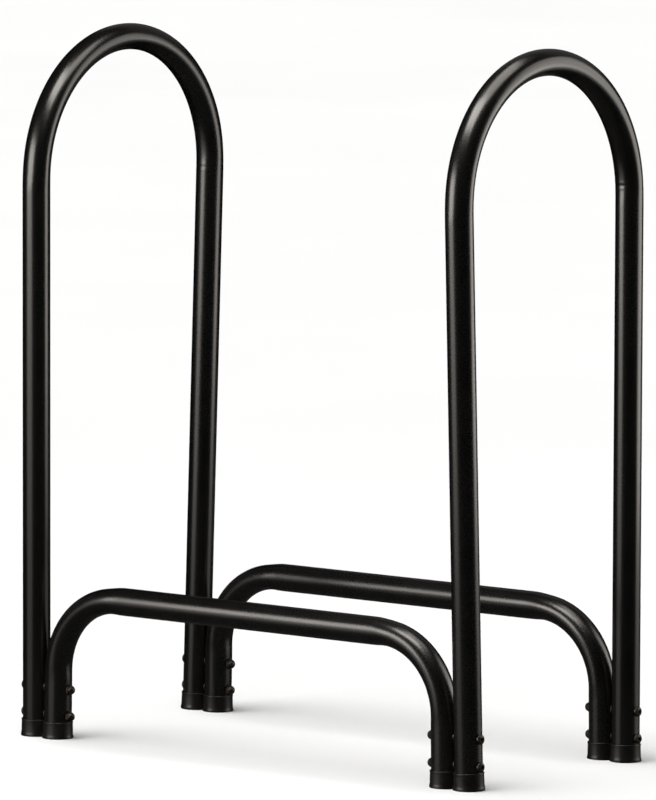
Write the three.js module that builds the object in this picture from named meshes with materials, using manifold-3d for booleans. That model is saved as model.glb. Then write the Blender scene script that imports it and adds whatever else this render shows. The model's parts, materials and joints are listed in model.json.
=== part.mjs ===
// Firewood log rack. Two one-piece hoop frames stand at the ends and two low rails join
// them. Each rail leg is bolted to a frame leg, and every leg stands in a soft slip-on cap.
// Millimetres, +Z up. Origin: centre of the rack, on the floor.
// +X runs along the rails to the right-hand hoop, -Y is the front.

import * as THREE from 'three';
import { mergeVertices } from 'three/addons/utils/BufferGeometryUtils.js';
import Module from 'manifold-3d';

const wasm = await Module();
wasm.setup();

// ---------------------------------------------------------------- driving dimensions

const FIT_GAP = 0.15;              // air left between pieces that touch

const TUBE_OD = 28.8;              // 1 1/8 in steel tube with its powder coat
const TUBE_WALL = 1.2;
const TUBE_SIDES = 16;

const FRAME_X = 287.5;             // axis of a frame leg at the floor, from the centre
const FRAME_Y = 128.5;
const FRAME_LEAN = 0.0144;         // radians: each hoop leans in towards the other
const FRAME_SPLAY = 0.0181;        // radians: a hoop's legs part as they rise
const ARCH_CENTRE = 583.5;         // height of the arch's centre, up the hoop's plane
const ARCH_STEPS = 18;

const RAIL_HEIGHT = 150;           // axis of the level part of a rail
const RAIL_BEND = 80;              // bend radius on the tube's axis
const BEND_STEPS = 6;

const BOLT_LEVELS = { lower: 24, upper: 52 };
const BOLT_D = 6;
const BOLT_SIDES = 12;
const HEAD_D = 10.5;
const HEAD_H = 3.5;
const HEAD_RIM = 0.9;              // straight edge of the button head
const HEAD_SWEEP = 1.2;            // radians of the dome's curve, up to its flat middle
const DOME_STEPS = 3;
const SOCKET_AF = 4;               // hexagon key socket
const SOCKET_DEPTH = 1.9;
const SHANK_PAST_RAIL = 4.2;       // shank that stands out of the rail leg, in the nut
const HOLE_D = BOLT_D + 0.8;
const HOLE_SIDES = 10;

const NUT_AF = 10;                 // low crown cap nut
const NUT_HEX_H = 3.0;
const NUT_H = 7.0;
const NUT_BORE_DEPTH = 4.8;
const NUT_SHOULDER = 0.4;          // step from the hexagon's flats in to the crown

const WASHER_D = 12;               // between the two legs, on each bolt
const WASHER_T = 0.5;

const CAP_H = 18;
const CAP_FLOOR = 2.6;
const CAP_RIM_R = TUBE_OD / 2 + 1.2;
const CAP_BASE_R = TUBE_OD / 2 + 2.0;
const CAP_FOOT_H = 3.0;            // straight skirt at the cap's base
const CAP_EDGE = 0.45;             // chamfer round the cap's mouth
const CAP_SPARE = 1.5;             // extra length under a cap, cut off level at the floor

// Worked out from the above.
const TUBE_R = TUBE_OD / 2;
const LEG_PITCH = TUBE_OD + WASHER_T + 2 * FIT_GAP;
const ARCH_R = (FRAME_Y + ARCH_CENTRE * Math.tan(FRAME_SPLAY)) * Math.cos(FRAME_SPLAY);
const TUBE_END = CAP_FLOOR + FIT_GAP;
const MID_BOLT = (BOLT_LEVELS.lower + BOLT_LEVELS.upper) / 2;
const RAIL_Y = FRAME_Y + MID_BOLT * Math.tan(FRAME_SPLAY);

// ------------------------------------------------------------------------- materials

function finish(color, roughness, metalness) {
  return new THREE.MeshStandardMaterial({ color, roughness, metalness });
}

const blackCoat = () => finish(0x15130f, 0.38, 0.3);
const capVinyl = () => finish(0x1d1b18, 0.62, 0.0);
const blackOxide = () => finish(0x2a2520, 0.4, 0.7);
const zincPlate = () => finish(0xb9b6ae, 0.35, 0.9);

// ---------------------------------------------------------------------- solids helpers

// A closed three.js mesh as a manifold solid.
function toSolid(geometry) {
  const bare = geometry.clone();
  bare.deleteAttribute('normal');
  bare.deleteAttribute('uv');
  const merged = mergeVertices(bare, 1e-4);
  const index = merged.index.array;
  const triangles = [];
  for (let i = 0; i < index.length; i += 3) {
    const [a, b, c] = [index[i], index[i + 1], index[i + 2]];
    if (a !== b && b !== c && c !== a) triangles.push(a, b, c);
  }
  return new wasm.Manifold(new wasm.Mesh({
    numProp: 3,
    vertProperties: Float32Array.from(merged.attributes.position.array),
    triVerts: Uint32Array.from(triangles),
  }));
}

function toGeometry(solid) {
  const mesh = solid.getMesh();
  const geometry = new THREE.BufferGeometry();
  geometry.setAttribute('position', new THREE.BufferAttribute(mesh.vertProperties, 3));
  geometry.setIndex(new THREE.BufferAttribute(mesh.triVerts, 1));
  geometry.computeVertexNormals();
  return geometry;
}

function cut(geometry, tools) {
  let solid = toSolid(geometry);
  for (const tool of tools) solid = solid.subtract(toSolid(tool));
  return toGeometry(solid);
}

// A turned piece: profile points are [radius, distance along the axis].
function turned(profile, sides) {
  return new THREE.LatheGeometry(profile.map(([r, h]) => new THREE.Vector2(r, h)), sides);
}

// ------------------------------------------------------------------------- tube paths

// A path of straight runs and arcs that is sampled only at its own stations, so that a
// straight run costs one step and each arc as many as it needs.
class StationPath extends THREE.Curve {
  constructor(stations) {
    super();
    this.stations = stations;
  }

  at(u) {
    return this.stations[Math.round(u * (this.stations.length - 1))];
  }

  getPoint(u, target = new THREE.Vector3()) {
    return target.copy(this.at(u).point);
  }

  getPointAt(u, target) {
    return this.getPoint(u, target);
  }

  getTangent(u, target = new THREE.Vector3()) {
    return target.copy(this.at(u).tangent);
  }

  getTangentAt(u, target) {
    return this.getTangent(u, target);
  }
}

// Stations on an arc in a plane: centre (p, z), from angle t0 down to t1, clockwise.
function arcStations(centreP, centreZ, radius, t0, t1, steps, toSpace) {
  const stations = [];
  for (let i = 0; i <= steps; i += 1) {
    const t = t0 + ((t1 - t0) * i) / steps;
    stations.push({
      point: toSpace(centreP + radius * Math.cos(t), centreZ + radius * Math.sin(t)),
      tangent: toSpace(Math.sin(t), -Math.cos(t)),
    });
  }
  return stations;
}

function tubeAlong(stations) {
  const ring = (radius, shape) => {
    for (let i = 0; i < TUBE_SIDES; i += 1) {
      const t = (2 * Math.PI * i) / TUBE_SIDES;
      const point = [radius * Math.cos(t), radius * Math.sin(t)];
      if (i === 0) shape.moveTo(...point);
      else shape.lineTo(...point);
    }
    shape.closePath();
    return shape;
  };
  const section = ring(TUBE_R, new THREE.Shape());
  section.holes.push(ring(TUBE_R - TUBE_WALL, new THREE.Path()));
  return new THREE.ExtrudeGeometry(section, {
    steps: stations.length - 1,
    curveSegments: 1,
    bevelEnabled: false,
    extrudePath: new StationPath(stations),
  });
}

// ------------------------------------------------------------------- where the ends are

// side is +1 for the right-hand end and -1 for the left-hand end. In an end's own frame
// the hoop lies in the plane x = 0 and its legs start at the floor.
function placeEnd(object, side) {
  object.position.set(side * FRAME_X, 0, 0);
  object.rotation.set(0, -side * FRAME_LEAN, 0);
  object.updateMatrix();
  return object;
}

const endMatrix = (side) => placeEnd(new THREE.Object3D(), side).matrix;

// Clearance holes for the bolts of one end, in that end's frame.
function boltHoles() {
  const tools = [];
  for (const y of [-RAIL_Y, RAIL_Y]) {
    for (const level of Object.values(BOLT_LEVELS)) {
      const hole = new THREE.CylinderGeometry(HOLE_D / 2, HOLE_D / 2, 6 * TUBE_OD, HOLE_SIDES);
      tools.push(hole.rotateZ(Math.PI / 2).translate(0, y, level));
    }
  }
  return tools;
}

// --------------------------------------------------------------------------- the tubes

function endFrame() {
  const inPlane = (y, z) => new THREE.Vector3(0, y, z);
  const footY = FRAME_Y + TUBE_END * Math.tan(FRAME_SPLAY);
  const arch = arcStations(
    0, ARCH_CENTRE, ARCH_R, Math.PI + FRAME_SPLAY, -FRAME_SPLAY, ARCH_STEPS, inPlane);
  const stations = [
    { point: inPlane(-footY, TUBE_END), tangent: arch[0].tangent },
    ...arch,
    { point: inPlane(footY, TUBE_END), tangent: arch[ARCH_STEPS].tangent },
  ];
  return cut(tubeAlong(stations), boltHoles());
}

// A rail's legs lie beside the frame legs, so they lean with them, and each bend is a
// little under a right angle.
function rail(y) {
  const inPlane = (x, z) => new THREE.Vector3(x, 0, z);
  const floorX = FRAME_X - LEG_PITCH / Math.cos(FRAME_LEAN);
  const footX = floorX - TUBE_END * Math.tan(FRAME_LEAN);
  const bendZ = RAIL_HEIGHT - RAIL_BEND;
  const bendX = floorX - bendZ * Math.tan(FRAME_LEAN) - RAIL_BEND / Math.cos(FRAME_LEAN);
  const left = arcStations(
    -bendX, bendZ, RAIL_BEND, Math.PI - FRAME_LEAN, Math.PI / 2, BEND_STEPS, inPlane);
  const right = arcStations(
    bendX, bendZ, RAIL_BEND, Math.PI / 2, FRAME_LEAN, BEND_STEPS, inPlane);
  const stations = [
    { point: inPlane(-footX, TUBE_END), tangent: left[0].tangent },
    ...left,
    ...right,
    { point: inPlane(footX, TUBE_END), tangent: right[BEND_STEPS].tangent },
  ];
  const holes = [-1, 1].flatMap(
    (side) => boltHoles().map((hole) => hole.applyMatrix4(endMatrix(side))));
  return cut(tubeAlong(stations).translate(0, y, 0), holes);
}

// ------------------------------------------------------------------------ the fixings

// Button head bolt along X. Its head's seat is at x = 0 and its shank runs to -X.
function bolt() {
  const shank = LEG_PITCH + 2 * TUBE_R + 2 * FIT_GAP + SHANK_PAST_RAIL;
  const point = 0.6;
  const profile = [[0, -shank], [BOLT_D / 2 - point, -shank], [BOLT_D / 2, point - shank]];
  profile.push([BOLT_D / 2, 0], [HEAD_D / 2, 0], [HEAD_D / 2, HEAD_RIM]);
  for (let i = 1; i <= DOME_STEPS; i += 1) {
    const t = (HEAD_SWEEP * i) / DOME_STEPS;
    const rise = ((HEAD_H - HEAD_RIM) * Math.sin(t)) / Math.sin(HEAD_SWEEP);
    profile.push([(HEAD_D / 2) * Math.cos(t), HEAD_RIM + rise]);
  }
  profile.push([0, HEAD_H]);
  const socketR = SOCKET_AF / Math.sqrt(3);
  const socket = new THREE.CylinderGeometry(socketR, socketR, 2 * SOCKET_DEPTH, 6);
  socket.translate(0, HEAD_H, 0);
  return cut(turned(profile, BOLT_SIDES), [socket]).rotateZ(-Math.PI / 2);
}

// Low crown cap nut along X, with its seat at x = 0 and its crown towards -X.
function capNut() {
  const hexR = NUT_AF / Math.sqrt(3);
  const domeR = NUT_AF / 2 - NUT_SHOULDER;
  const sunk = NUT_HEX_H / 2;
  const hexagon = new THREE.CylinderGeometry(hexR, hexR, NUT_HEX_H, 6);
  hexagon.translate(0, sunk, 0);
  const dome = [[0, sunk], [domeR, sunk]];
  for (let i = 0; i < DOME_STEPS; i += 1) {
    const t = (Math.PI * i) / (2 * DOME_STEPS);
    dome.push([domeR * Math.cos(t), NUT_HEX_H + (NUT_H - NUT_HEX_H) * Math.sin(t)]);
  }
  dome.push([0, NUT_H]);
  const boreR = BOLT_D / 2 + 0.3;
  const bore = new THREE.CylinderGeometry(boreR, boreR, 2 * NUT_BORE_DEPTH, BOLT_SIDES);
  const body = toSolid(hexagon).add(toSolid(turned(dome, BOLT_SIDES))).subtract(toSolid(bore));
  return toGeometry(body).rotateZ(Math.PI / 2);
}

function washer() {
  const bore = HOLE_D / 2;
  const edge = WASHER_D / 2;
  const half = WASHER_T / 2;
  const ring = [[bore, -half], [edge, -half], [edge, half], [bore, half], [bore, -half]];
  return turned(ring, BOLT_SIDES).rotateZ(Math.PI / 2);
}

// ----------------------------------------------------------------------- the foot caps

// Soft cup in the leg's own frame: +Z up the leg, the floor inside at CAP_FLOOR.
function footCap() {
  const inner = TUBE_R + FIT_GAP;
  const profile = [
    [0, -CAP_SPARE], [CAP_BASE_R, -CAP_SPARE], [CAP_BASE_R, CAP_FOOT_H],
    [CAP_RIM_R, CAP_H - CAP_EDGE], [CAP_RIM_R - CAP_EDGE, CAP_H],
    [inner, CAP_H], [inner, CAP_FLOOR], [0, CAP_FLOOR],
  ];
  return turned(profile, TUBE_SIDES).rotateX(Math.PI / 2);
}

// A cap on its leg, trimmed level at the floor and pressed flat against its neighbour.
// towards is the way to the neighbouring leg along the end's own x axis.
function trimmedCap(leg, side, towards) {
  const bulk = 4 * TUBE_OD;
  const centre = new THREE.Vector3().setFromMatrixPosition(leg);
  const below = new THREE.BoxGeometry(bulk, bulk, bulk);
  below.translate(centre.x, centre.y, -bulk / 2);
  const seam = (-side * LEG_PITCH - towards * FIT_GAP) / 2;
  const beyond = new THREE.BoxGeometry(bulk, bulk, bulk);
  beyond.translate(seam + (towards * bulk) / 2, centre.y, 0).applyMatrix4(endMatrix(side));
  return cut(footCap().applyMatrix4(leg), [below, beyond]);
}

// The matrix of a leg: its axis meets the end's base line at (x, y) and tilts by splay.
function legMatrix(side, x, y, splay) {
  const leg = new THREE.Object3D();
  leg.position.set(x, y, 0);
  leg.rotation.set(splay, 0, 0);
  leg.updateMatrix();
  return endMatrix(side).multiply(leg.matrix);
}

// -------------------------------------------------------------------------- assembly

const rack = new THREE.Group();

function add(parent, name, geometry, material, position = [0, 0, 0]) {
  const mesh = new THREE.Mesh(geometry, material);
  mesh.name = name;
  mesh.position.set(...position);
  parent.add(mesh);
  return mesh;
}

const ends = [{ name: 'left', side: -1 }, { name: 'right', side: 1 }];
const rows = [{ name: 'front', way: -1 }, { name: 'rear', way: 1 }];

for (const row of rows) {
  add(rack, `${row.name}_rail`, rail(row.way * RAIL_Y), blackCoat());
}

for (const end of ends) {
  const group = placeEnd(new THREE.Group(), end.side);
  rack.add(group);
  add(group, `end_frame_${end.name}`, endFrame(), blackCoat());

  for (const row of rows) {
    const corner = `${row.name}_${end.name}`;
    const y = row.way * RAIL_Y;

    for (const [level, height] of Object.entries(BOLT_LEVELS)) {
      const turn = end.side > 0 ? 0 : Math.PI;
      const headX = end.side * (TUBE_R + FIT_GAP);
      const nutX = -end.side * (LEG_PITCH + TUBE_R + FIT_GAP);
      const at = (x) => [x, y, height];
      add(group, `bolt_${corner}_${level}`, bolt().rotateZ(turn), blackOxide(), at(headX));
      add(group, `cap_nut_${corner}_${level}`, capNut().rotateZ(turn), blackOxide(), at(nutX));
      const middle = -end.side * (LEG_PITCH / 2);
      add(group, `washer_${corner}_${level}`, washer(), zincPlate(), at(middle));
    }

    const splay = -row.way * FRAME_SPLAY;
    const frameLeg = legMatrix(end.side, 0, row.way * FRAME_Y, splay);
    const railLeg = legMatrix(end.side, -end.side * LEG_PITCH, y, 0);
    const legs = [
      { name: 'frame', matrix: frameLeg, towards: -end.side },
      { name: 'rail', matrix: railLeg, towards: end.side },
    ];
    for (const leg of legs) {
      const cap = trimmedCap(leg.matrix, end.side, leg.towards);
      add(rack, `foot_cap_${corner}_${leg.name}`, cap, capVinyl());
    }
  }
}

export default rack;
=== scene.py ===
import json
import math

import bmesh
import bpy
from mathutils import Matrix, Vector

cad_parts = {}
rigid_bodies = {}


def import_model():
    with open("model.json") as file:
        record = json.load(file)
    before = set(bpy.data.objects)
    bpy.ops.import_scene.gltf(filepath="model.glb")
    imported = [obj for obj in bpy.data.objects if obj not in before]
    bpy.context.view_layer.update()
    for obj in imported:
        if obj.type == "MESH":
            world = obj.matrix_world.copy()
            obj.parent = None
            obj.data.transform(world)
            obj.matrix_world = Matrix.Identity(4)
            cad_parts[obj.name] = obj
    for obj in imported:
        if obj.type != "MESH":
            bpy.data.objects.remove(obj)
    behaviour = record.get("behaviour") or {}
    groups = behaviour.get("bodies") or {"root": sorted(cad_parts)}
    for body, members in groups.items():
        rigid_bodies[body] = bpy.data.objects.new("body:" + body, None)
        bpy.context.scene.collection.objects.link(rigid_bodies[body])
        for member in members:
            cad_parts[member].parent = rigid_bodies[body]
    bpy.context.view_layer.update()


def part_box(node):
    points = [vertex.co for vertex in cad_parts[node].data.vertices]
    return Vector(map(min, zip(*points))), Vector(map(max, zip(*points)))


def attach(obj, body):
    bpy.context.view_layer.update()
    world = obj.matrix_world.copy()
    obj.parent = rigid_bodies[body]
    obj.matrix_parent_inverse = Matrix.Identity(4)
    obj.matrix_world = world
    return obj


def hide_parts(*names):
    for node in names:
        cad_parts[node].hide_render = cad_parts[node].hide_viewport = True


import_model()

# ---------------------------------------------------------------- sizes, in metres

MM = 0.001
rail_low, rail_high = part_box("front_rail")
hoop_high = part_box("end_frame_right")[1]

TUBE_R = (rail_high.y - rail_low.y) / 2
TUBE_WALL = 1.2 * MM
LEAN = 0.0144                       # each hoop leans in, in radians
SPLAY = 0.0181                      # each leg of a hoop leans out as it rises, in radians
FOOT_X = 287.5 * MM                 # axis of a hoop leg at the floor
RAIL_Y = (rail_low.y + rail_high.y) / -2    # from the middle to a rail's axis
ARCH_R = hoop_high.y - TUBE_R
ARCH_Z = (hoop_high.z - TUBE_R) / math.cos(LEAN) - ARCH_R
RAIL_Z = rail_high.z - TUBE_R
RAIL_BEND = 80 * MM
LEG_PITCH = 29.6 * MM               # from a hoop leg's axis to the rail leg's
TUBE_END = 2.75 * MM                # height of a tube's end, inside its cap
SEAT_GAP = 0.15 * MM                # between pieces that sit against each other
BOLT_Z = {"lower": 24 * MM, "upper": 52 * MM}

BOLT_R = 3 * MM
HEAD_R = 5.25 * MM
HEAD_H = 3.44 * MM                  # a hair under the CAD head, which leans outwards
SOCKET_AF = 4 * MM
NUT_GRIP = 4.2 * MM                 # how far a bolt reaches into its nut
SHANK = LEG_PITCH + 2 * TUBE_R + 2 * SEAT_GAP + NUT_GRIP
NUT_AF = 10 * MM
NUT_H = 7 * MM
NUT_HEX_H = 3 * MM
WASHER_R = 6 * MM
WASHER_HOLE_R = 3.4 * MM
WASHER_T = 0.5 * MM
CAP_H = 18 * MM
CAP_FLOOR = 2.6 * MM
CAP_BASE_R = TUBE_R + 2.0 * MM
CAP_RIM_R = TUBE_R + 1.15 * MM
CAP_BORE_R = TUBE_R + SEAT_GAP

ENDS = {"left": -1, "right": 1}
ROWS = {"front": -1, "rear": 1}


def end_matrix(side):
    """An end's own frame: its hoop lies in x = 0 and its legs start at the floor."""
    return Matrix.Translation((side * FOOT_X, 0, 0)) @ Matrix.Rotation(-side * LEAN, 4, "Y")


# ---------------------------------------------------------------------- materials

class Nodes:
    """A material's node tree, with short calls for what each finish needs."""

    def __init__(self, name):
        self.material = bpy.data.materials.new(name)
        self.material.use_nodes = True
        self.tree = self.material.node_tree
        self.shader = self.tree.nodes["Principled BSDF"]
        self.coords = self.tree.nodes.new("ShaderNodeTexCoord").outputs["Object"]

    def link(self, out, into):
        self.tree.links.new(out, into)

    def constants(self, **values):
        for socket, value in values.items():
            self.shader.inputs[socket].default_value = value

    def noise(self, scale, detail=2.0, stretch=(1, 1, 1)):
        mapping = self.tree.nodes.new("ShaderNodeMapping")
        mapping.inputs["Scale"].default_value = stretch
        self.link(self.coords, mapping.inputs["Vector"])
        noise = self.tree.nodes.new("ShaderNodeTexNoise")
        noise.inputs["Scale"].default_value = scale
        noise.inputs["Detail"].default_value = detail
        self.link(mapping.outputs["Vector"], noise.inputs["Vector"])
        return noise.outputs["Fac"]

    def spread(self, value, low, high, start=0.3, stop=0.7):
        """Goes softly from low to high as the value goes from start to stop."""
        ramp = self.tree.nodes.new("ShaderNodeMapRange")
        ramp.interpolation_type = "SMOOTHSTEP"
        for socket, number in (("From Min", start), ("From Max", stop),
                               ("To Min", low), ("To Max", high)):
            ramp.inputs[socket].default_value = number
        self.link(value, ramp.inputs["Value"])
        return ramp.outputs["Result"]

    def tint(self, value, dark, light, start=0.3, stop=0.7):
        """A color that goes from dark to light as the value goes from start to stop."""
        share = self.spread(value, 0, 1, start, stop)
        mix = self.tree.nodes.new("ShaderNodeMix")
        mix.data_type = "RGBA"
        mix.inputs["A"].default_value = (*dark, 1)
        mix.inputs["B"].default_value = (*light, 1)
        self.link(share, mix.inputs["Factor"])
        return mix.outputs["Result"]

    def add(self, a, b):
        total = self.tree.nodes.new("ShaderNodeMath")
        total.operation = "ADD"
        self.link(a, total.inputs[0])
        self.link(b, total.inputs[1])
        return total.outputs["Value"]

    def bump(self, height, depth, strength, under=None):
        bump = self.tree.nodes.new("ShaderNodeBump")
        bump.inputs["Distance"].default_value = depth
        bump.inputs["Strength"].default_value = strength
        self.link(height, bump.inputs["Height"])
        if under is not None:
            self.link(under, bump.inputs["Normal"])
        return bump.outputs["Normal"]

    def finish(self, color, roughness, normal):
        self.link(color, self.shader.inputs["Base Color"])
        self.link(roughness, self.shader.inputs["Roughness"])
        self.link(normal, self.shader.inputs["Normal"])
        return self.material


def powder_coat():
    """Black satin powder coat: orange peel, fine grain and faint uneven gloss."""
    n = Nodes("black_powder_coat")
    n.constants(IOR=1.5, Metallic=0.0)
    color = n.tint(n.noise(scale=26, detail=3),
                   dark=(0.0031, 0.0030, 0.0028), light=(0.0047, 0.0044, 0.0040))
    rubbed = n.spread(n.noise(scale=9, detail=4, stretch=(1, 1, 0.25)), low=0.225, high=0.275)
    speckled = n.spread(n.noise(scale=900, detail=1), low=0, high=0.03)
    peel = n.bump(n.noise(scale=330, detail=1.5), depth=0.05 * MM, strength=0.22)
    grain = n.bump(n.noise(scale=2200, detail=1), depth=0.012 * MM, strength=0.18, under=peel)
    return n.finish(color, n.add(rubbed, speckled), grain)


def cap_vinyl():
    """Soft moulded cap: duller and a little browner than the tube, with fine pimples."""
    n = Nodes("black_vinyl")
    n.constants(IOR=1.42)
    color = n.tint(n.noise(scale=60, detail=3),
                   dark=(0.0034, 0.0031, 0.0026), light=(0.0056, 0.0050, 0.0042))
    roughness = n.spread(n.noise(scale=140, detail=3), low=0.34, high=0.45)
    flow = n.bump(n.noise(scale=190, stretch=(1, 1, 0.3)), depth=0.08 * MM, strength=0.5)
    pimples = n.bump(n.noise(scale=1500, detail=1), depth=0.02 * MM, strength=0.7, under=flow)
    return n.finish(color, roughness, pimples)


def black_oxide():
    """Blackened steel: metal that shows brown-grey where tools have rubbed it."""
    n = Nodes("black_fixings")
    n.constants(Metallic=0.75, IOR=1.5)
    color = n.tint(n.noise(scale=420, detail=4), start=0.42, stop=0.68,
                   dark=(0.020, 0.016, 0.0135), light=(0.062, 0.050, 0.042))
    roughness = n.spread(n.noise(scale=700), low=0.30, high=0.44)
    pits = n.bump(n.noise(scale=1400, detail=3), depth=0.03 * MM, strength=0.6)
    return n.finish(color, roughness, pits)


def zinc_plate():
    """Zinc plate that has dulled and clouded."""
    n = Nodes("zinc_washer")
    n.constants(Metallic=1.0)
    color = n.tint(n.noise(scale=300, detail=3), dark=(0.11, 0.105, 0.10), light=(0.19, 0.18, 0.17))
    roughness = n.spread(n.noise(scale=800), low=0.32, high=0.45)
    crystals = n.bump(n.noise(scale=2200), depth=0.01 * MM, strength=0.6)
    return n.finish(color, roughness, crystals)


def pale_paper():
    """Seamless paper for the floor."""
    n = Nodes("pale_floor")
    color = n.tint(n.noise(scale=0.6), dark=(0.90, 0.90, 0.895), light=(0.92, 0.92, 0.915))
    roughness = n.spread(n.noise(scale=3), low=0.85, high=0.95)
    fibre = n.bump(n.noise(scale=40), depth=0.1 * MM, strength=0.2)
    return n.finish(color, roughness, fibre)


COAT = powder_coat()
VINYL = cap_vinyl()
OXIDE = black_oxide()
ZINC = zinc_plate()


# ------------------------------------------------------------------- mesh helpers

CORNER = math.radians(32)           # an edge that turns by this or more stays sharp


def object_from(name, mesh):
    thing = bpy.data.objects.new(name, mesh)
    bpy.context.scene.collection.objects.link(thing)
    return thing


def soften(mesh):
    """Smooth shading, with every corner kept sharp."""
    form = bmesh.new()
    form.from_mesh(mesh)
    for face in form.faces:
        face.smooth = True
    for edge in form.edges:
        edge.smooth = edge.calc_face_angle(0) < CORNER
    form.to_mesh(mesh)
    form.free()


def bake(thing):
    """Applies an object's modifiers, so that it holds a plain mesh."""
    graph = bpy.context.evaluated_depsgraph_get()
    mesh = bpy.data.meshes.new_from_object(thing.evaluated_get(graph))
    thing.modifiers.clear()
    mesh.name = thing.name
    thing.data = mesh


def keep(piece, slot, *nodes):
    """Hands a finished piece to the frame in place of its CAD nodes."""
    soften(piece.data)
    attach(piece, "root")
    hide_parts(*nodes)


def hexagon(af):
    """Radius of a hexagon of that size across flats, as a function of the angle."""
    return lambda t: af / 2 / math.cos((t + math.pi / 6) % (math.pi / 3) - math.pi / 6)


def lathe(name, rings, sides):
    """A turned piece. A ring is (height, radius); a radius may be a function of the angle,
    and a radius of 0 closes an end in a point."""
    form = bmesh.new()
    loops = []
    for height, radius in rings:
        if radius == 0:
            loops.append([form.verts.new((0, 0, height))] * sides)
            continue
        loop = []
        for i in range(sides):
            t = 2 * math.pi * i / sides
            r = radius(t) if callable(radius) else radius
            loop.append(form.verts.new((r * math.cos(t), r * math.sin(t), height)))
        loops.append(loop)
    for below, above in zip(loops, loops[1:]):
        for i in range(sides):
            j = (i + 1) % sides
            corners = [below[i], below[j], above[j], above[i]]
            form.faces.new(list(dict.fromkeys(corners)))
    bmesh.ops.recalc_face_normals(form, faces=form.faces)
    mesh = bpy.data.meshes.new(name)
    form.to_mesh(mesh)
    form.free()
    return mesh


def quarter(r_in, z_out, r_out, z_in, steps):
    """Rings of a rounded corner, from (z_out, r_out) to (z_in, r_in)."""
    rings = []
    for i in range(steps + 1):
        t = math.pi / 2 * i / steps
        radius = r_in + (r_out - r_in) * math.cos(t)
        rings.append((z_out + (z_in - z_out) * math.sin(t), radius))
    return rings


# ----------------------------------------------------------------------- node trees

SIDE_SWELL = 0.5                    # of a flattened bend, as a share of its flattening
MARK_LEAST = 0.25                   # share of a bender's mark that is left outside a bend


class Tree:
    """A Geometry Nodes tree with named inputs, put on an object as a modifier."""

    def __init__(self, name):
        self.group = bpy.data.node_groups.new(name, "GeometryNodeTree")
        self.ids = {}
        for way in ("INPUT", "OUTPUT"):
            self.group.interface.new_socket("Geometry", in_out=way,
                                            socket_type="NodeSocketGeometry")
        self.inputs = self.node("NodeGroupInput")
        self.out = self.node("NodeGroupOutput")

    def node(self, kind, **settings):
        made = self.group.nodes.new(kind)
        for key, value in settings.items():
            setattr(made, key, value)
        return made

    def input(self, name, kind):
        socket = self.group.interface.new_socket(name, in_out="INPUT", socket_type=kind)
        self.ids[name] = socket.identifier
        return self.inputs.outputs[name]

    def link(self, out, into):
        self.group.links.new(out, into)

    def attribute(self, name, kind="FLOAT"):
        read = self.node("GeometryNodeInputNamedAttribute", data_type=kind)
        read.inputs["Name"].default_value = name
        return read.outputs["Attribute"]

    def product(self, a, b):
        return self.math("MULTIPLY", a, b)

    def math(self, operation, a, b):
        node = self.node("ShaderNodeMath", operation=operation)
        self.link(a, node.inputs[0])
        if isinstance(b, float):
            node.inputs[1].default_value = b
        else:
            self.link(b, node.inputs[1])
        return node.outputs["Value"]

    def vector(self, operation, a, b=None, out="Vector"):
        node = self.node("ShaderNodeVectorMath", operation=operation)
        self.link(a, node.inputs[0])
        if b is not None:
            self.link(b, node.inputs["Scale" if operation == "SCALE" else 1])
        return node.outputs[out]

    def finish(self, geometry, material):
        """Ends the tree in Realize Instances and Set Material."""
        real = self.node("GeometryNodeRealizeInstances")
        paint = self.node("GeometryNodeSetMaterial")
        self.link(geometry, real.inputs["Geometry"])
        self.link(real.outputs["Geometry"], paint.inputs["Geometry"])
        self.link(material, paint.inputs["Material"])
        self.link(paint.outputs["Geometry"], self.out.inputs["Geometry"])

    def put_on(self, thing, **values):
        modifier = thing.modifiers.new(self.group.name, "NODES")
        modifier.node_group = self.group
        for name, value in values.items():
            modifier[self.ids[name.replace("_", " ")]] = value


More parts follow.
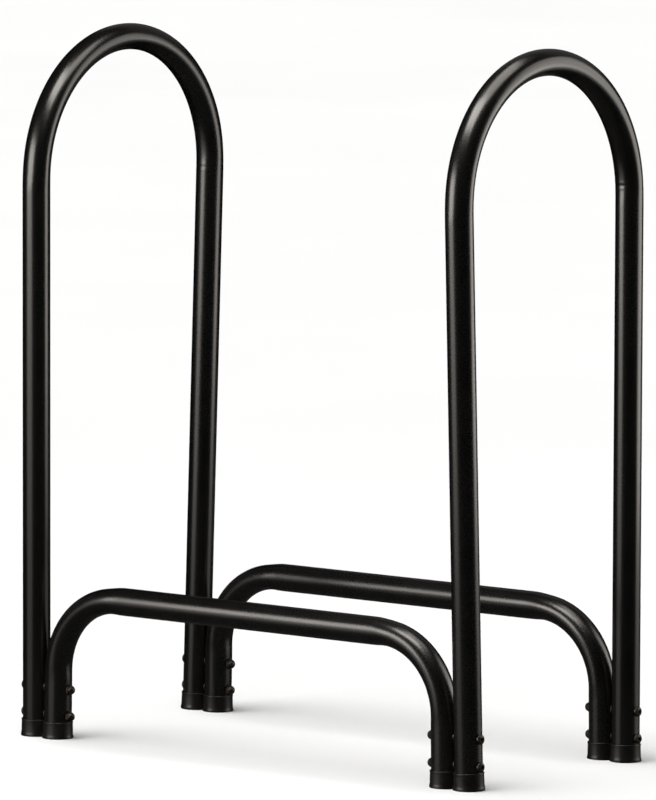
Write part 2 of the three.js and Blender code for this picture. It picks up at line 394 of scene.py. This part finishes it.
def tube_tree():
    """Sweeps a round tube along a wire. The wire's own 'bend' attribute says where the
    tube is bent, and so slightly flattened, and 'mark' how deep the bender's ring is."""
    tree = Tree("bent_tube")
    radius = tree.input("Tube Radius", "NodeSocketFloat")
    sides = tree.input("Sides", "NodeSocketInt")
    flattening = tree.input("Bend Flattening", "NodeSocketFloat")
    across = tree.input("Across Bend", "NodeSocketVector")
    centre = tree.input("Bend Centre", "NodeSocketVector")
    depth = tree.input("Mark Depth", "NodeSocketFloat")
    material = tree.input("Finish", "NodeSocketMaterial")

    wire = tree.node("GeometryNodeMeshToCurve")
    tree.link(tree.inputs.outputs["Geometry"], wire.inputs["Mesh"])
    circle = tree.node("GeometryNodeCurvePrimitiveCircle", mode="RADIUS")
    tree.link(sides, circle.inputs["Resolution"])
    tree.link(radius, circle.inputs["Radius"])
    sweep = tree.node("GeometryNodeCurveToMesh")
    tree.link(wire.outputs["Curve"], sweep.inputs["Curve"])
    tree.link(circle.outputs["Curve"], sweep.inputs["Profile Curve"])

    normal = tree.node("GeometryNodeInputNormal").outputs["Normal"]
    sideways = tree.vector("DOT_PRODUCT", normal, across, "Value")
    swell = tree.vector("SCALE", across, tree.product(sideways, 1 + SIDE_SWELL))
    squash = tree.vector("SUBTRACT", swell, normal)
    amount = tree.product(tree.product(radius, flattening), tree.attribute("bend"))
    flatter = tree.vector("SCALE", squash, amount)
    spot = tree.node("GeometryNodeInputPosition").outputs["Position"]
    inward = tree.vector("NORMALIZE", tree.vector("SUBTRACT", centre, spot))
    turned = tree.vector("DOT_PRODUCT", normal, inward, "Value")
    facing = tree.math("MAXIMUM", turned, MARK_LEAST)
    mark = tree.product(tree.product(depth, tree.attribute("mark")), facing)
    pressed = tree.vector("SCALE", normal, mark)
    move = tree.node("GeometryNodeSetPosition")
    tree.link(sweep.outputs["Mesh"], move.inputs["Geometry"])
    tree.link(tree.vector("SUBTRACT", flatter, pressed), move.inputs["Offset"])
    tree.finish(move.outputs["Geometry"], material)
    return tree


def fixing_tree():
    """Sets one fixing at each point of a mesh, turned by the point's 'turn' attribute."""
    tree = Tree("fixings")
    piece = tree.input("Piece", "NodeSocketObject")
    material = tree.input("Finish", "NodeSocketMaterial")
    info = tree.node("GeometryNodeObjectInfo")
    info.inputs["As Instance"].default_value = True
    tree.link(piece, info.inputs["Object"])
    rotation = tree.node("FunctionNodeEulerToRotation")
    tree.link(tree.attribute("turn", "FLOAT_VECTOR"), rotation.inputs["Euler"])
    place = tree.node("GeometryNodeInstanceOnPoints")
    tree.link(tree.inputs.outputs["Geometry"], place.inputs["Points"])
    tree.link(info.outputs["Geometry"], place.inputs["Instance"])
    tree.link(rotation.outputs["Rotation"], place.inputs["Rotation"])
    tree.finish(place.outputs["Instances"], material)
    return tree


TUBES = tube_tree()
FIXINGS = fixing_tree()


# ------------------------------------------------------------------------ the tubes

TUBE_SIDES = 64
LEG_STEP = 14 * MM
BEND_STEP = 4 * MM
MARK_STEP = 0.7 * MM
MARK_REACH = 9 * MM                 # of the fine stations round a bender's mark
MARK_WIDTH = 1.5 * MM
MARK_DEPTH = 0.16 * MM
RIDGE_HEIGHT = 0.45                 # of a mark's ridges, as a share of its depth
RIDGE_PLACE = 2.2                   # from a mark's middle, in mark widths
EASE = 11 * MM                      # over which a straight turns into a bend
EASE_POINTS = 6                     # averaged on each side of a point of a centre line
EASE_SPREAD = 2.4                   # of those points' weights, counted in points
BEND_FLAT = 6.8 * MM                # divided by a bend's radius: the share it is flattened by

# For the beginning and the end of each bend: how far on from there the bender left its
# ring, and how strongly.
HOOP_MARKS = {
    "left": [(0, 0), (3 * MM, 0.8)],
    "right": [(-22 * MM, 0.5), (-10 * MM, 1.2)],
}
RAIL_MARKS = [(0, 0.25)] * 4


class Straight:
    def __init__(self, start, end):
        self.start = start
        self.length = (end - start).length
        self.direction = (end - start).normalized()

    def at(self, s):
        return self.start + self.direction * s


class Bend:
    def __init__(self, centre, radius, t0, t1):
        self.centre = centre
        self.radius = radius
        self.t0 = t0
        self.way = math.copysign(1, t1 - t0)
        self.length = radius * abs(t1 - t0)

    def at(self, s):
        t = self.t0 + self.way * s / self.radius
        return self.centre + self.radius * Vector((math.cos(t), math.sin(t)))


class Outline:
    """A tube's centre line: straights and bends, easing from one into the next."""

    def __init__(self, parts):
        self.parts = parts
        self.starts = [0.0]
        for part in parts:
            self.starts.append(self.starts[-1] + part.length)
        self.length = self.starts[-1]
        self.bends = [(start, start + part.length)
                      for part, start in zip(parts, self.starts) if isinstance(part, Bend)]

    def sharp(self, s):
        """The point at s before the easing."""
        i = max([k for k in range(len(self.parts)) if self.starts[k] <= s], default=0)
        return self.parts[i].at(s - self.starts[i])

    def at(self, s):
        """The point at s, as a weighted mean of the points within two EASE of it."""
        total = Vector((0, 0))
        weights = 0.0
        for k in range(-EASE_POINTS, EASE_POINTS + 1):
            weight = math.exp(-0.5 * (k / EASE_SPREAD) ** 2)
            total += weight * self.sharp(s + k / EASE_POINTS * EASE * 2)
            weights += weight
        return total / weights

    def bent(self, s):
        """1 inside a bend, 0 on a straight, with a soft change between them."""
        return max(smooth((s - a) / EASE) * smooth((b - s) / EASE) for a, b in self.bends)

    def stations(self, marks):
        """Places along the tube: closest at the marks, closer on the bends than the legs."""
        found = [0.0]
        while found[-1] < self.length:
            s = found[-1]
            if any(abs(s - m) < MARK_REACH for m in marks):
                step = MARK_STEP
            elif any(a - 2 * EASE < s < b + 2 * EASE for a, b in self.bends):
                step = BEND_STEP
            else:
                step = min([LEG_STEP] + [m - MARK_REACH - s for m in marks
                                         if m - MARK_REACH > s + MARK_STEP])
            found.append(s + step)
        found[-1] = self.length
        return found


def smooth(x):
    """Goes softly from 0 to 1 as x goes from -1 to 1."""
    x = min(max(0.5 + x / 2, 0.0), 1.0)
    return x * x * (3 - 2 * x)


def ring_mark(s, place, strength):
    """A shallow groove, with a low ridge on each side."""
    x = (s - place) / MARK_WIDTH
    return strength * (math.exp(-x * x) - RIDGE_HEIGHT * math.exp(-((abs(x) - RIDGE_PLACE) ** 2)))


def tube(name, parts, marks, to_space, across, centre):
    """A hollow bent tube. marks is as for HOOP_MARKS, across is square to the plane of the
    bends, and the bender's marks are deepest on the side towards centre."""
    outline = Outline(parts)
    ends = [end for bend in outline.bends for end in bend]
    marks = [(end + shift, strength) for end, (shift, strength) in zip(ends, marks)]
    stations = outline.stations([place for place, strength in marks if strength])
    pressed = [sum(ring_mark(s, *mark) for mark in marks) for s in stations]
    mesh = bpy.data.meshes.new(name)
    wire = [(i, i + 1) for i in range(len(stations) - 1)]
    mesh.from_pydata([to_space(outline.at(s)) for s in stations], wire, [])
    mesh.attributes.new("mark", "FLOAT", "POINT").data.foreach_set("value", pressed)
    bent = [outline.bent(s) for s in stations]
    mesh.attributes.new("bend", "FLOAT", "POINT").data.foreach_set("value", bent)
    piece = object_from(name, mesh)
    bend_r = max(part.radius for part in parts if isinstance(part, Bend))
    TUBES.put_on(piece, Tube_Radius=TUBE_R, Sides=TUBE_SIDES,
                 Bend_Flattening=BEND_FLAT / bend_r, Across_Bend=across,
                 Bend_Centre=to_space(centre), Mark_Depth=MARK_DEPTH, Finish=COAT)
    wall = piece.modifiers.new("wall", "SOLIDIFY")
    wall.thickness = TUBE_WALL
    wall.offset = -1
    bake(piece)
    return piece


def hoop_floor_y():
    """Where the axis of a hoop's leg meets the floor."""
    return ARCH_R / math.cos(SPLAY) - ARCH_Z * math.tan(SPLAY)


def hoop(end):
    foot_y = hoop_floor_y() + TUBE_END * math.tan(SPLAY)
    centre = Vector((0, ARCH_Z))
    arch = Bend(centre, ARCH_R, math.pi + SPLAY, -SPLAY)
    up = Straight(Vector((-foot_y, TUBE_END)), arch.at(0))
    down = Straight(arch.at(arch.length), Vector((foot_y, TUBE_END)))
    place = end_matrix(ENDS[end])
    across = place.to_3x3() @ Vector((1, 0, 0))
    piece = tube(f"hoop_{end}", [up, arch, down], HOOP_MARKS[end],
                 lambda p: place @ Vector((0, p.x, p.y)), across, centre)
    keep(piece, "black_powder_coat", f"end_frame_{end}")


def rail(row):
    floor_x = FOOT_X - LEG_PITCH / math.cos(LEAN)
    bend_z = RAIL_Z - RAIL_BEND
    bend_x = floor_x - bend_z * math.tan(LEAN) - RAIL_BEND / math.cos(LEAN)
    foot_x = floor_x - TUBE_END * math.tan(LEAN)
    left = Bend(Vector((-bend_x, bend_z)), RAIL_BEND, math.pi - LEAN, math.pi / 2)
    right = Bend(Vector((bend_x, bend_z)), RAIL_BEND, math.pi / 2, LEAN)
    up = Straight(Vector((-foot_x, TUBE_END)), left.at(0))
    level = Straight(left.at(left.length), right.at(0))
    down = Straight(right.at(right.length), Vector((foot_x, TUBE_END)))
    piece = tube(f"{row}_rail_tube", [up, left, level, right, down], RAIL_MARKS,
                 lambda p: Vector((p.x, ROWS[row] * RAIL_Y, p.y)), Vector((0, 1, 0)),
                 Vector((0, bend_z)))
    keep(piece, "black_powder_coat", f"{row}_rail")


for end in ENDS:
    hoop(end)
for row in ROWS:
    rail(row)


# ---------------------------------------------------------------------- the fixings

def bolt_mesh():
    """Button head bolt. The head's seat is at z = 0, the shank runs down."""
    point = 0.6 * MM                # chamfer of the shank's end
    seat_edge = 0.15 * MM
    dome = quarter(r_in=3.05 * MM, z_out=0.85 * MM, r_out=HEAD_R, z_in=HEAD_H - 0.1 * MM,
                   steps=12)
    land_r = 2.85 * MM              # of the flat round the socket
    mouth_r = 2.45 * MM
    mouth = 0.3 * MM
    socket = hexagon(SOCKET_AF)
    socket_depth = 1.9 * MM
    drill_r = 0.4 * MM              # of the cone under the socket, just above its tip
    drill_depth = 2.4 * MM
    drill_tip = 2.5 * MM
    rings = [
        (-SHANK, 0), (-SHANK, BOLT_R - point), (-SHANK + point, BOLT_R), (0, BOLT_R),
        (0, HEAD_R - seat_edge), (seat_edge, HEAD_R), *dome,
        (HEAD_H, land_r), (HEAD_H, mouth_r), (HEAD_H - mouth, socket),
        (HEAD_H - socket_depth, socket), (HEAD_H - drill_depth, drill_r),
        (HEAD_H - drill_tip, 0),
    ]
    return lathe("button_head_bolt", rings, sides=48)


def nut_mesh():
    """Low crown cap nut, open at its seat, z = 0, with the crown up."""
    flats = hexagon(NUT_AF)

    def chamfered(limit):
        """The hexagon with its corners cut back to a radius."""
        return lambda t: min(flats(t), limit)

    bore_r = BOLT_R + 0.2 * MM
    bore_depth = 4.8 * MM
    bore_tip = 5.0 * MM
    lead_in = 0.4 * MM
    seat_corners = [(0, 5.1 * MM), (0.3 * MM, 5.45 * MM)]     # height above the seat, radius
    flats_low = 0.55 * MM
    flats_high = NUT_HEX_H - 0.6 * MM
    top_corners = [(0.3 * MM, 5.4 * MM), (0, 4.95 * MM)]      # depth under the top, radius
    neck_r = 4.7 * MM
    crown = quarter(r_in=0, z_out=NUT_HEX_H + 0.15 * MM, r_out=4.55 * MM, z_in=NUT_H, steps=14)
    rings = [
        (bore_tip, 0), (bore_depth, bore_r), (lead_in, bore_r), (0, bore_r + lead_in),
        *((height, chamfered(radius)) for height, radius in seat_corners),
        (flats_low, flats), (flats_high, flats),
        *((NUT_HEX_H - depth, chamfered(radius)) for depth, radius in top_corners),
        (NUT_HEX_H, neck_r), *crown[:-1], (NUT_H, 0),
    ]
    return lathe("cap_nut", rings, sides=60)


def washer_mesh():
    """Flat washer with its outer edges chamfered. Its profile ends where it began, and the
    doubles there are merged."""
    half = WASHER_T / 2
    edge = 0.12 * MM
    rings = [
        (-half, WASHER_HOLE_R), (-half, WASHER_R - edge), (edge - half, WASHER_R),
        (half - edge, WASHER_R), (half, WASHER_R - edge), (half, WASHER_HOLE_R),
        (-half, WASHER_HOLE_R),
    ]
    mesh = lathe("thin_washer", rings, sides=48)
    form = bmesh.new()
    form.from_mesh(mesh)
    bmesh.ops.remove_doubles(form, verts=form.verts, dist=0.001 * MM)
    bmesh.ops.recalc_face_normals(form, faces=form.faces)
    form.to_mesh(mesh)
    form.free()
    return mesh


def set_fixings(name, shape, material, slot, node, distance, outward):
    """One fixing on every bolt line. distance is from the hoop's plane towards the rack's
    outside; outward is 1 where the fixing's own +Z points out of the rack, and -1 where it
    points in."""
    pattern = object_from(shape.name, shape)
    points, turns, nodes = [], [], []
    for end, side in ENDS.items():
        place = end_matrix(side)
        aim = place.to_3x3() @ Vector((side * outward, 0, 0))
        for row, way in ROWS.items():
            for level, height in BOLT_Z.items():
                points.append(place @ Vector((side * distance, way * RAIL_Y, height)))
                turns.extend(aim.to_track_quat("Z", "Y").to_euler())
                nodes.append(f"{node}_{row}_{end}_{level}")
    mesh = bpy.data.meshes.new(name)
    mesh.from_pydata(points, [], [])
    mesh.attributes.new("turn", "FLOAT_VECTOR", "POINT").data.foreach_set("vector", turns)
    piece = object_from(name, mesh)
    FIXINGS.put_on(piece, Piece=pattern, Finish=material)
    bake(piece)
    bpy.data.objects.remove(pattern)
    keep(piece, slot, *nodes)


seat = TUBE_R + SEAT_GAP
set_fixings("button_head_bolts", bolt_mesh(), OXIDE, "black_fixings", "bolt", seat, 1)
set_fixings("cap_nuts", nut_mesh(), OXIDE, "black_fixings", "cap_nut", -LEG_PITCH - seat, -1)
set_fixings("thin_washers", washer_mesh(), ZINC, "zinc_washer", "washer", -LEG_PITCH / 2, 1)


# -------------------------------------------------------------------- the foot caps

CAP_SIDES = 96


def cap_rings():
    """Profile of a foot cap up its leg, from the middle of its underside to the middle of
    its floor inside. The cap stands on a ring; the middle of its base is recessed."""
    recess = 0.5 * MM
    recess_r = 9.0 * MM
    ring_r = 9.6 * MM
    edge = 0.7 * MM
    base_edge = quarter(r_in=CAP_BASE_R - edge, z_out=edge, r_out=CAP_BASE_R, z_in=0.0, steps=5)
    shoulder = [(2.6 * MM, 0.05 * MM), (3.4 * MM, 0.35 * MM), (5.0 * MM, 0.55 * MM)]
    lip = 0.25 * MM
    collar = [(2.6 * MM, 0), (2.1 * MM, 0.02 * MM), (1.8 * MM, lip)]
    rim = quarter(r_in=CAP_RIM_R - 0.35 * MM, z_out=CAP_H - 0.7 * MM, r_out=CAP_RIM_R + lip,
                  z_in=CAP_H, steps=5)
    mouth = 0.25 * MM
    return [
        (recess, 0), (recess, recess_r), (0.0, ring_r), *reversed(base_edge),
        *((height, CAP_BASE_R - inset) for height, inset in shoulder),
        *((CAP_H - depth, CAP_RIM_R + outset) for depth, outset in collar),
        *rim, (CAP_H - mouth, CAP_BORE_R), (CAP_FLOOR, CAP_BORE_R), (CAP_FLOOR, 0),
    ]


def foot_cap(end, row, leg_name):
    """A cap that leans with its leg. Its base is flat on the floor, and the side towards its
    neighbour is pressed flat."""
    side, way = ENDS[end], ROWS[row]
    on_rail = leg_name == "rail"
    mesh = lathe(f"cap_{row}_{end}_{leg_name}", cap_rings(), CAP_SIDES)
    towards = side if on_rail else -side
    foot_y = RAIL_Y if on_rail else hoop_floor_y()
    x = -side * LEG_PITCH if on_rail else 0.0
    tilt = 0.0 if on_rail else -way * SPLAY
    stand = Matrix.Translation((x, way * foot_y, 0)) @ Matrix.Rotation(tilt, 4, "X")
    flat = (-side * LEG_PITCH - towards * SEAT_GAP) / 2     # x of its flat face
    for vertex in mesh.vertices:
        spot = stand @ vertex.co
        if (spot.x - flat) * towards > 0:
            spot.x = flat
        spot = end_matrix(side) @ spot
        spot.z = max(spot.z, 0.0) if vertex.co.z > 0 else 0.0
        vertex.co = spot
    piece = object_from(mesh.name, mesh)
    mesh.materials.append(VINYL)
    keep(piece, "black_vinyl", f"foot_cap_{row}_{end}_{leg_name}")


for end in ENDS:
    for row in ROWS:
        for leg_name in ("frame", "rail"):
            foot_cap(end, row, leg_name)


# ------------------------------------------------------------------- floor and light

LAMP_TINT = (1, 0.95, 0.89)
ROOM_TINT = (0.93, 0.93, 0.925, 1)


def floor():
    """A pale sheet that lays no shadow and shows in no reflection."""
    mesh = bpy.data.meshes.new("studio_floor")
    half = 60.0
    corners = [(-half, -half, 0), (half, -half, 0), (half, half, 0), (-half, half, 0)]
    mesh.from_pydata(corners, [], [(0, 1, 2, 3)])
    mesh.materials.append(pale_paper())
    sheet = object_from("studio_floor", mesh)
    sheet.visible_glossy = False
    sheet.visible_shadow = False


def softbox(name, place, aim, size, glow):
    """A flat soft lamp, seen only as a reflection. glow is how bright its face is."""
    lamp = bpy.data.lights.new(name, "AREA")
    lamp.shape = "RECTANGLE"
    lamp.size, lamp.size_y = size
    lamp.energy = glow * math.pi * size[0] * size[1]
    lamp.color = LAMP_TINT
    thing = object_from(name, lamp)
    thing.location = place
    thing.rotation_euler = (Vector(aim) - Vector(place)).to_track_quat("-Z", "Y").to_euler()
    thing.visible_diffuse = False
    thing.visible_camera = False


def overhead(strength, spread, tilt):
    """The broad light from above that matt surfaces get. It shows in no reflection. Angles
    are in degrees."""
    lamp = bpy.data.lights.new("overhead_fill", "SUN")
    lamp.energy = strength
    lamp.angle = math.radians(spread)
    thing = object_from("overhead_fill", lamp)
    thing.rotation_euler = [math.radians(angle) for angle in tilt]
    thing.visible_glossy = False


def pale_world():
    world = bpy.data.worlds.new("pale_room")
    bpy.context.scene.world = world
    world.use_nodes = True
    world.node_tree.nodes["Background"].inputs["Color"].default_value = ROOM_TINT
    world.cycles_visibility.glossy = False
    world.cycles_visibility.diffuse = False


def left_lamps():
    """The light along the left of each tube, faintest at the feet."""
    softbox("left_box", place=(-0.80, -1.72, 0.80), aim=(0, 0, 0.50), size=(1.18, 0.80), glow=7.6)
    softbox("left_wrap", place=(-0.82, -1.76, 0.62), aim=(0, 0, 0.50), size=(1.50, 1.16), glow=2.0)
    softbox("left_low", place=(-0.82, -1.76, -0.16), aim=(0, 0, 0), size=(1.50, 0.40), glow=0.6)


def right_lamps():
    """The light along the right of each tube."""
    softbox("right_box", place=(1.00, 1.00, 0.35), aim=(0, 0, 0.32), size=(0.80, 0.44), glow=3.5)
    softbox("right_high", place=(1.00, 1.00, 0.96), aim=(0, 0, 0.75), size=(0.80, 0.80), glow=2.4)
    softbox("right_wrap", place=(1.02, 1.02, 0.38), aim=(0, 0, 0.40), size=(0.95, 1.26), glow=0.8)


def top_lamps():
    """The light along the tops of the rails and hoops."""
    softbox("top_box", place=(0.35, 0.02, 1.50), aim=(0.35, 0.02, 0), size=(0.70, 0.62), glow=4.8)
    softbox("top_front_box", place=(0.15, -0.55, 1.50), aim=(0.15, -0.55, 0), size=(0.84, 0.52),
            glow=12.0)


def room_glow():
    """The faint light that the room and the floor throw back onto the tubes."""
    softbox("back_haze", place=(-0.45, 1.90, 1.85), aim=(0, 0, 0.70), size=(2.90, 1.30), glow=0.18)
    softbox("floor_glow", place=(0, -0.05, 0.002), aim=(0, -0.05, 1), size=(1.20, 1.10), glow=0.05)
    softbox("back_floor_glow", place=(0.40, 1.90, 0.002), aim=(0.40, 1.90, 1), size=(2.60, 1.60),
            glow=0.10)


floor()
pale_world()
overhead(strength=3.95, spread=70, tilt=(16, -14, 0))
left_lamps()
right_lamps()
top_lamps()
room_glow()


# --------------------------------------------------------------------------- camera

AZIMUTH = math.radians(39.37)
ELEVATION = math.radians(6.30)
ROLL = math.radians(0.233)
DISTANCE = 9.298
TARGET = Vector((-0.0025, 0, 0.3608))
LENS = 407.1                        # in millimetres, as the sensor
SENSOR = 36
FARTHEST = 200                      # that the camera sees: past the floor's edge


def camera():
    back = Vector((math.sin(AZIMUTH) * math.cos(ELEVATION),
                   -math.cos(AZIMUTH) * math.cos(ELEVATION), math.sin(ELEVATION)))
    right = Vector((math.cos(AZIMUTH), math.sin(AZIMUTH), 0))
    up = back.cross(right)
    turn = Matrix((right, up, back)).transposed() @ Matrix.Rotation(ROLL, 3, "Z")
    lens = bpy.data.cameras.new("photographer")
    lens.lens = LENS
    lens.sensor_width = SENSOR
    lens.clip_end = FARTHEST
    thing = object_from("photographer", lens)
    thing.matrix_world = Matrix.Translation(TARGET + back * DISTANCE) @ turn.to_4x4()
    bpy.context.scene.camera = thing


camera()
bpy.context.scene.view_settings.view_transform = "Standard"
